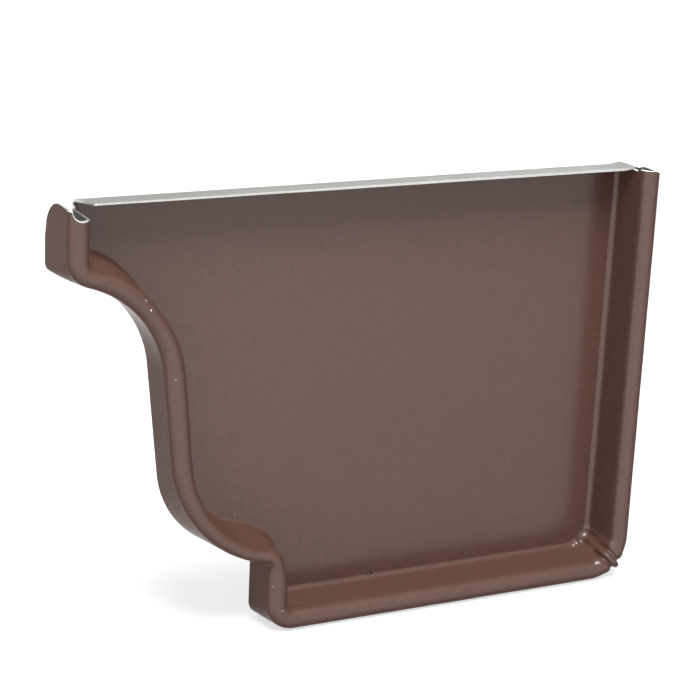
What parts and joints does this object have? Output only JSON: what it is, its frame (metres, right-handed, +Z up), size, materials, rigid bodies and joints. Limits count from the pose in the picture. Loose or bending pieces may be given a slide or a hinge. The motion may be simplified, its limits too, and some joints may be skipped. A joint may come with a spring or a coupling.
{
  "type": "gutter end cap",
  "caption": "Pressed sheet-metal end cap for an ogee-front rain gutter: recessed flat panel, rolled rim that forms a channel for the gutter's end, top fold and lip ear.",
  "frame": {"origin": "middle of the box round the cap, on the plane of its bottom flange", "axes": "+X from the ogee front to the back that stands against the fascia board, +Y from the outer face towards the gutter, +Z up"},
  "size_m": [0.127, 0.0144, 0.0892],
  "materials": {
    "painted_sheet": "brown baked enamel, satin; reverse side light grey, cut edges bare"
  },
  "bodies": {
    "root": {"end_cap": "painted_sheet"}
  },
  "joints": []
}
